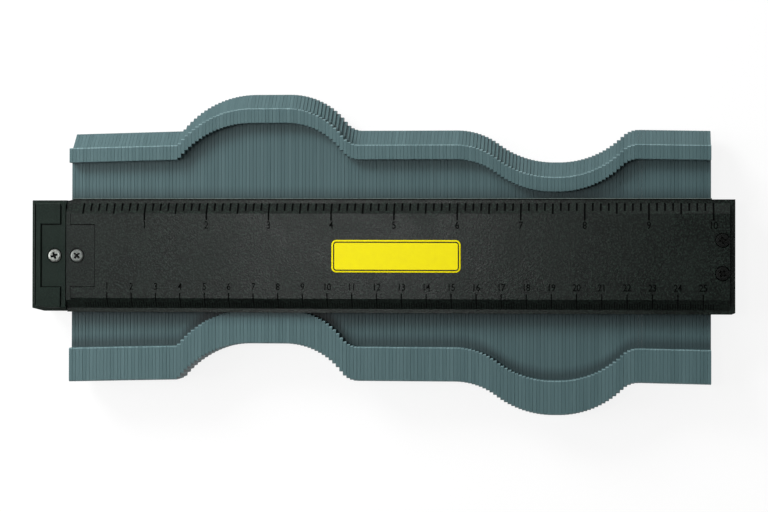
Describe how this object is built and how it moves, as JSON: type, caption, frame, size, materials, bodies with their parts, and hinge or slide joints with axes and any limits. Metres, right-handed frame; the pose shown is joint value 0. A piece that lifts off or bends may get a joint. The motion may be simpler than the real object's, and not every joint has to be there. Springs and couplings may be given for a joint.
{
  "type": "contour gauge",
  "caption": "Long flat contour gauge: a row of thin grey plastic leaves slides between two black ruled covers with a screwed end block and copies a profile.",
  "frame": {"origin": "centre of the rear face of the two covers", "axes": "+X along the scale towards the closed end with two screws, +Y along the leaves towards their bevelled noses, +Z out of the front face with the scale"},
  "size_m": [0.2843, 0.1291, 0.0209],
  "materials": {
    "black_abs": "fine moulded grain",
    "grey_abs": "satin moulded",
    "plated_steel": "bright zinc plate",
    "black_steel": "black oxide",
    "friction_rubber": "matt",
    "label_film": "printed yellow film"
  },
  "bodies": {
    "gauge_body": {"front_cover": "black_abs", "rear_cover": "black_abs", "end_block": "black_abs", "front_link_plate": "plated_steel", "rear_link_plate": "plated_steel", "block_link_screws": "plated_steel", "cover_link_screws": "plated_steel", "end_screws": "black_steel", "front_friction_strip": "friction_rubber", "rear_friction_strip": "friction_rubber", "label": "label_film"},
    "leaf_set_01": {"leaves_01": "grey_abs"},
    "leaf_set_02": {"leaves_02": "grey_abs"},
    "leaf_set_03": {"leaves_03": "grey_abs"},
    "leaf_set_04": {"leaves_04": "grey_abs"},
    "leaf_set_05": {"leaves_05": "grey_abs"},
    "leaf_set_06": {"leaves_06": "grey_abs"},
    "leaf_set_07": {"leaves_07": "grey_abs"},
    "leaf_set_08": {"leaves_08": "grey_abs"},
    "leaf_set_09": {"leaves_09": "grey_abs"},
    "leaf_set_10": {"leaves_10": "grey_abs"},
    "leaf_set_11": {"leaves_11": "grey_abs"},
    "leaf_set_12": {"leaves_12": "grey_abs"},
    "leaf_set_13": {"leaves_13": "grey_abs"},
    "leaf_set_14": {"leaves_14": "grey_abs"},
    "leaf_set_15": {"leaves_15": "grey_abs"},
    "leaf_set_16": {"leaves_16": "grey_abs"},
    "leaf_set_17": {"leaves_17": "grey_abs"},
    "leaf_set_18": {"leaves_18": "grey_abs"},
    "leaf_set_19": {"leaves_19": "grey_abs"},
    "leaf_set_20": {"leaves_20": "grey_abs"},
    "leaf_set_21": {"leaves_21": "grey_abs"},
    "leaf_set_22": {"leaves_22": "grey_abs"},
    "leaf_set_23": {"leaves_23": "grey_abs"},
    "leaf_set_24": {"leaves_24": "grey_abs"},
    "leaf_set_25": {"leaves_25": "grey_abs"},
    "leaf_set_26": {"leaves_26": "grey_abs"},
    "leaf_set_27": {"leaves_27": "grey_abs"},
    "leaf_set_28": {"leaves_28": "grey_abs"},
    "leaf_set_29": {"leaves_29": "grey_abs"},
    "leaf_set_30": {"leaves_30": "grey_abs"},
    "leaf_set_31": {"leaves_31": "grey_abs"},
    "leaf_set_32": {"leaves_32": "grey_abs"},
    "leaf_set_33": {"leaves_33": "grey_abs"},
    "leaf_set_34": {"leaves_34": "grey_abs"},
    "leaf_set_35": {"leaves_35": "grey_abs"},
    "leaf_set_36": {"leaves_36": "grey_abs"},
    "leaf_set_37": {"leaves_37": "grey_abs"},
    "leaf_set_38": {"leaves_38": "grey_abs"},
    "leaf_set_39": {"leaves_39": "grey_abs"},
    "leaf_set_40": {"leaves_40": "grey_abs"},
    "leaf_set_41": {"leaves_41": "grey_abs"},
    "leaf_set_42": {"leaves_42": "grey_abs"},
    "leaf_set_43": {"leaves_43": "grey_abs"},
    "leaf_set_44": {"leaves_44": "grey_abs"},
    "leaf_set_45": {"leaves_45": "grey_abs"}
  },
  "joints": [
    {"name": "leaf_slide_01", "type": "slide", "parent": "gauge_body", "child": "leaf_set_01", "axis": [0, 1, 0], "range_m": [-0.01731, 0.01697]},
    {"name": "leaf_slide_02", "type": "slide", "parent": "gauge_body", "child": "leaf_set_02", "axis": [0, 1, 0], "range_m": [-0.01746, 0.01683]},
    {"name": "leaf_slide_03", "type": "slide", "parent": "gauge_body", "child": "leaf_set_03", "axis": [0, 1, 0], "range_m": [-0.0176, 0.01668]},
    {"name": "leaf_slide_04", "type": "slide", "parent": "gauge_body", "child": "leaf_set_04", "axis": [0, 1, 0], "range_m": [-0.01774, 0.01654]},
    {"name": "leaf_slide_05", "type": "slide", "parent": "gauge_body", "child": "leaf_set_05", "axis": [0, 1, 0], "range_m": [-0.01789, 0.01639]},
    {"name": "leaf_slide_06", "type": "slide", "parent": "gauge_body", "child": "leaf_set_06", "axis": [0, 1, 0], "range_m": [-0.01803, 0.01625]},
    {"name": "leaf_slide_07", "type": "slide", "parent": "gauge_body", "child": "leaf_set_07", "axis": [0, 1, 0], "range_m": [-0.01818, 0.0161]},
    {"name": "leaf_slide_08", "type": "slide", "parent": "gauge_body", "child": "leaf_set_08", "axis": [0, 1, 0], "range_m": [-0.01832, 0.01519]},
    {"name": "leaf_slide_09", "type": "slide", "parent": "gauge_body", "child": "leaf_set_09", "axis": [0, 1, 0], "range_m": [-0.02086, 0.0095]},
    {"name": "leaf_slide_10", "type": "slide", "parent": "gauge_body", "child": "leaf_set_10", "axis": [0, 1, 0], "range_m": [-0.02598, 0.0057]},
    {"name": "leaf_slide_11", "type": "slide", "parent": "gauge_body", "child": "leaf_set_11", "axis": [0, 1, 0], "range_m": [-0.02942, 0.00319]},
    {"name": "leaf_slide_12", "type": "slide", "parent": "gauge_body", "child": "leaf_set_12", "axis": [0, 1, 0], "range_m": [-0.03166, 0.00172]},
    {"name": "leaf_slide_13", "type": "slide", "parent": "gauge_body", "child": "leaf_set_13", "axis": [0, 1, 0], "range_m": [-0.0329, 0.00115]},
    {"name": "leaf_slide_14", "type": "slide", "parent": "gauge_body", "child": "leaf_set_14", "axis": [0, 1, 0], "range_m": [-0.03324, 0.00114]},
    {"name": "leaf_slide_15", "type": "slide", "parent": "gauge_body", "child": "leaf_set_15", "axis": [0, 1, 0], "range_m": [-0.03324, 0.00114]},
    {"name": "leaf_slide_16", "type": "slide", "parent": "gauge_body", "child": "leaf_set_16", "axis": [0, 1, 0], "range_m": [-0.03314, 0.00114]},
    {"name": "leaf_slide_17", "type": "slide", "parent": "gauge_body", "child": "leaf_set_17", "axis": [0, 1, 0], "range_m": [-0.03203, 0.00142]},
    {"name": "leaf_slide_18", "type": "slide", "parent": "gauge_body", "child": "leaf_set_18", "axis": [0, 1, 0], "range_m": [-0.02958, 0.00284]},
    {"name": "leaf_slide_19", "type": "slide", "parent": "gauge_body", "child": "leaf_set_19", "axis": [0, 1, 0], "range_m": [-0.02531, 0.00568]},
    {"name": "leaf_slide_20", "type": "slide", "parent": "gauge_body", "child": "leaf_set_20", "axis": [0, 1, 0], "range_m": [-0.01947, 0.01055]},
    {"name": "leaf_slide_21", "type": "slide", "parent": "gauge_body", "child": "leaf_set_21", "axis": [0, 1, 0], "range_m": [-0.01839, 0.01556]},
    {"name": "leaf_slide_22", "type": "slide", "parent": "gauge_body", "child": "leaf_set_22", "axis": [0, 1, 0], "range_m": [-0.01839, 0.01599]},
    {"name": "leaf_slide_23", "type": "slide", "parent": "gauge_body", "child": "leaf_set_23", "axis": [0, 1, 0], "range_m": [-0.01839, 0.01599]},
    {"name": "leaf_slide_24", "type": "slide", "parent": "gauge_body", "child": "leaf_set_24", "axis": [0, 1, 0], "range_m": [-0.01839, 0.01599]},
    {"name": "leaf_slide_25", "type": "slide", "parent": "gauge_body", "child": "leaf_set_25", "axis": [0, 1, 0], "range_m": [-0.01839, 0.01599]},
    {"name": "leaf_slide_26", "type": "slide", "parent": "gauge_body", "child": "leaf_set_26", "axis": [0, 1, 0], "range_m": [-0.01839, 0.01599]},
    {"name": "leaf_slide_27", "type": "slide", "parent": "gauge_body", "child": "leaf_set_27", "axis": [0, 1, 0], "range_m": [-0.01839, 0.01599]},
    {"name": "leaf_slide_28", "type": "slide", "parent": "gauge_body", "child": "leaf_set_28", "axis": [0, 1, 0], "range_m": [-0.01821, 0.01599]},
    {"name": "leaf_slide_29", "type": "slide", "parent": "gauge_body", "child": "leaf_set_29", "axis": [0, 1, 0], "range_m": [-0.01691, 0.01638]},
    {"name": "leaf_slide_30", "type": "slide", "parent": "gauge_body", "child": "leaf_set_30", "axis": [0, 1, 0], "range_m": [-0.01417, 0.01802]},
    {"name": "leaf_slide_31", "type": "slide", "parent": "gauge_body", "child": "leaf_set_31", "axis": [0, 1, 0], "range_m": [-0.01031, 0.02118]},
    {"name": "leaf_slide_32", "type": "slide", "parent": "gauge_body", "child": "leaf_set_32", "axis": [0, 1, 0], "range_m": [-0.00761, 0.02487]},
    {"name": "leaf_slide_33", "type": "slide", "parent": "gauge_body", "child": "leaf_set_33", "axis": [0, 1, 0], "range_m": [-0.00601, 0.02727]},
    {"name": "leaf_slide_34", "type": "slide", "parent": "gauge_body", "child": "leaf_set_34", "axis": [0, 1, 0], "range_m": [-0.00537, 0.02862]},
    {"name": "leaf_slide_35", "type": "slide", "parent": "gauge_body", "child": "leaf_set_35", "axis": [0, 1, 0], "range_m": [-0.00535, 0.02898]},
    {"name": "leaf_slide_36", "type": "slide", "parent": "gauge_body", "child": "leaf_set_36", "axis": [0, 1, 0], "range_m": [-0.00553, 0.02816]},
    {"name": "leaf_slide_37", "type": "slide", "parent": "gauge_body", "child": "leaf_set_37", "axis": [0, 1, 0], "range_m": [-0.00659, 0.02634]},
    {"name": "leaf_slide_38", "type": "slide", "parent": "gauge_body", "child": "leaf_set_38", "axis": [0, 1, 0], "range_m": [-0.00868, 0.02336]},
    {"name": "leaf_slide_39", "type": "slide", "parent": "gauge_body", "child": "leaf_set_39", "axis": [0, 1, 0], "range_m": [-0.012, 0.01881]},
    {"name": "leaf_slide_40", "type": "slide", "parent": "gauge_body", "child": "leaf_set_40", "axis": [0, 1, 0], "range_m": [-0.01679, 0.01604]},
    {"name": "leaf_slide_41", "type": "slide", "parent": "gauge_body", "child": "leaf_set_41", "axis": [0, 1, 0], "range_m": [-0.01831, 0.016]},
    {"name": "leaf_slide_42", "type": "slide", "parent": "gauge_body", "child": "leaf_set_42", "axis": [0, 1, 0], "range_m": [-0.01821, 0.01611]},
    {"name": "leaf_slide_43", "type": "slide", "parent": "gauge_body", "child": "leaf_set_43", "axis": [0, 1, 0], "range_m": [-0.01811, 0.01621]},
    {"name": "leaf_slide_44", "type": "slide", "parent": "gauge_body", "child": "leaf_set_44", "axis": [0, 1, 0], "range_m": [-0.01801, 0.01631]},
    {"name": "leaf_slide_45", "type": "slide", "parent": "gauge_body", "child": "leaf_set_45", "axis": [0, 1, 0], "range_m": [-0.01791, 0.01641]}
  ]
}
